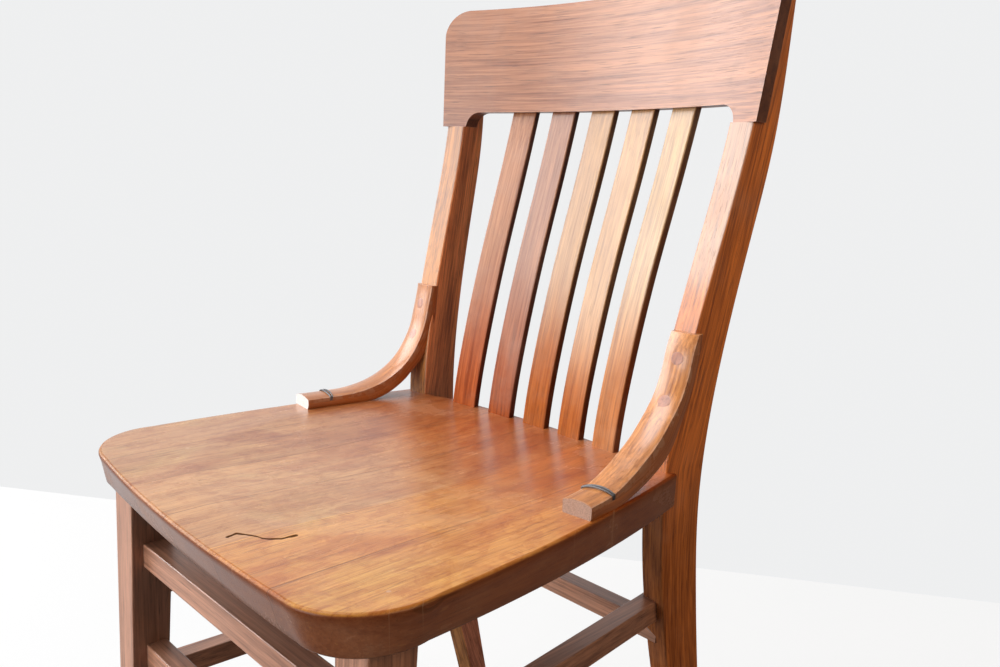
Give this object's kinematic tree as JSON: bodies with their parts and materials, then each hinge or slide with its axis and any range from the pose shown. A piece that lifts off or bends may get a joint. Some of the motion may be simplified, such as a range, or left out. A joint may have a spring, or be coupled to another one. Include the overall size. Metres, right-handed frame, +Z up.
{
  "type": "desk chair",
  "caption": "Armless wooden desk chair with a saddled solid seat, a curved slatted back under a top rail, and side brackets joining the back posts to the seat.",
  "frame": {"origin": "on the floor under the middle of the chair's bounding box", "axes": "+Z up from the floor, the front of the chair faces -Y, +X is the right side seen from the front, and X = 0 is the mirror plane"},
  "size_m": [0.4564, 0.5235, 0.9],
  "materials": {
    "seat_wood": "worn satin varnish",
    "back_wood": "worn satin varnish",
    "frame_wood": "satin varnish",
    "plug_wood": "satin varnish",
    "wire": "dull",
    "screw_steel": "plain"
  },
  "bodies": {
    "root": {"seat_board_1": "seat_wood", "seat_board_2": "seat_wood", "seat_board_3": "seat_wood", "seat_board_4": "seat_wood", "seat_board_5": "seat_wood", "seat_board_6": "seat_wood", "post_right": "frame_wood", "post_left": "frame_wood", "crest_rail": "back_wood", "slat_1": "back_wood", "slat_2": "back_wood", "slat_3": "back_wood", "slat_4": "back_wood", "slat_5": "back_wood", "hip_bracket_right": "frame_wood", "hip_bracket_left": "frame_wood", "bracket_plugs_right": "plug_wood", "bracket_plugs_left": "plug_wood", "wire_loop_right": "wire", "wire_loop_left": "wire", "front_leg_right": "frame_wood", "front_leg_left": "frame_wood", "front_stretcher_upper": "frame_wood", "front_stretcher_lower": "frame_wood", "side_stretcher_upper_right": "frame_wood", "side_stretcher_upper_left": "frame_wood", "side_stretcher_lower_right": "frame_wood", "side_stretcher_lower_left": "frame_wood", "rear_stretcher": "frame_wood", "bracket_screws": "screw_steel", "bracket_foot_screws": "screw_steel", "crest_screws": "screw_steel", "post_screws": "screw_steel"}
  },
  "joints": []
}
